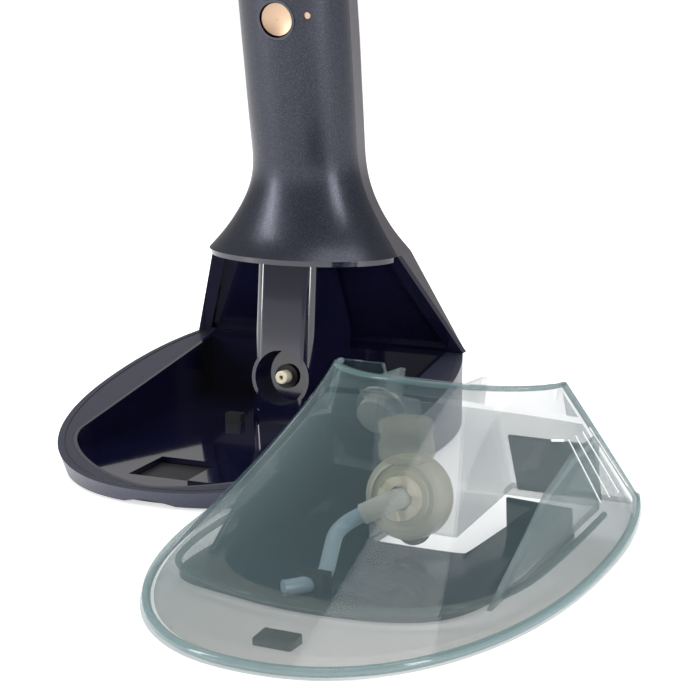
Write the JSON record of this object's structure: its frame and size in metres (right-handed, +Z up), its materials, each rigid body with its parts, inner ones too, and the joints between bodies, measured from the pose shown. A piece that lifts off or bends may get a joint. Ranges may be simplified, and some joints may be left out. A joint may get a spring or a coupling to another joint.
{
  "type": "garment steamer",
  "caption": "Upright hand-held garment steamer standing on a wide oval base, with its clear water tank lifted off and set down beside it.",
  "frame": {"origin": "centre of the base's underside, on the surface it stands on", "axes": "+Z up, -Y the steamer's front, +X the side that the removed tank stands on"},
  "size_m": [0.2475, 0.2992, 0.3023],
  "materials": {
    "slate_satin": "satin metallic lacquer on plastic",
    "navy_gloss": "gloss",
    "navy_metallic": "satin metallic lacquer on plastic",
    "taupe_satin": "satin",
    "black_plastic": "matt",
    "rubber_black": "matt",
    "screw_steel": "plain",
    "ivory_plastic": "satin",
    "rose_gold": "satin metallic",
    "lamp_gold": "gloss",
    "board_green": "solder mask",
    "pump_plastic": "moulded",
    "silicone_tube": "translucent silicone",
    "soleplate_metal": "brushed",
    "cast_alloy": "as cast",
    "clear_tank": "clear moulded plastic, pale teal",
    "smoked_tank": "smoked moulded plastic",
    "cream_translucent": "translucent moulding",
    "clear_fitting": "clear moulding",
    "silicone_plug": "matt silicone"
  },
  "bodies": {
    "steamer": {"base_shell": "slate_satin", "base_plate": "black_plastic", "rubber_feet": "rubber_black", "base_screws": "screw_steel", "tank_bay": "navy_gloss", "bay_back": "navy_gloss", "flare_trim": "navy_gloss", "water_column": "navy_gloss", "water_nozzle": "ivory_plastic", "nozzle_seal": "rubber_black", "tank_stop": "black_plastic", "handle_shell": "navy_metallic", "back_cover": "taupe_satin", "button_bezel": "navy_gloss", "button_spring": "screw_steel", "power_bezel": "navy_gloss", "power_spring": "screw_steel", "status_lamp": "lamp_gold", "switches": "black_plastic", "circuit_board": "board_green", "pump": "pump_plastic", "pump_bracket": "black_plastic", "inlet_tube": "silicone_tube", "outlet_tube": "silicone_tube", "head_shell": "navy_metallic", "head_ring": "rose_gold", "head_seal": "rubber_black", "soleplate": "soleplate_metal", "steam_chamber": "cast_alloy", "heating_element": "screw_steel", "thermostat": "cast_alloy", "thermal_fuse": "ivory_plastic", "cord_gland": "rubber_black"},
    "tank": {"tank_shell": "clear_tank", "tank_web": "smoked_tank", "tank_well": "smoked_tank", "valve_drum": "cream_translucent", "valve_seal": "rubber_black", "valve_spring": "screw_steel", "valve_collar": "ivory_plastic", "hose_elbow": "clear_fitting", "suction_hose": "silicone_tube", "hose_clip": "black_plastic", "latch_tab": "black_plastic"},
    "steam_button": {"steam_button": "rose_gold"},
    "power_button": {"power_button": "navy_metallic"},
    "valve_plunger": {"valve_plunger": "ivory_plastic"},
    "filler_plug": {"filler_plug": "silicone_plug"}
  },
  "joints": [
    {"name": "tank_lift", "type": "slide", "parent": "steamer", "child": "tank", "axis": [0, 0, 1], "range_m": [0, 0.12]},
    {"name": "steam_button_press", "type": "slide", "parent": "steamer", "child": "steam_button", "axis": [0, 0.9869, 0.1616], "range_m": [0, 0.0015], "stiffness_N_per_m": 700, "springref_m": -0.002},
    {"name": "power_button_press", "type": "slide", "parent": "steamer", "child": "power_button", "axis": [0, 0.9869, 0.1616], "range_m": [0, 0.0015], "stiffness_N_per_m": 700, "springref_m": -0.002},
    {"name": "valve_open", "type": "slide", "parent": "tank", "child": "valve_plunger", "axis": [-0.0534, -0.9868, 0.153], "range_m": [0, 0.002], "stiffness_N_per_m": 300, "springref_m": -0.002},
    {"name": "filler_plug_pull", "type": "slide", "parent": "tank", "child": "filler_plug", "axis": [0.0488, 0.9018, 0.4295], "range_m": [0, 0.012]}
  ]
}
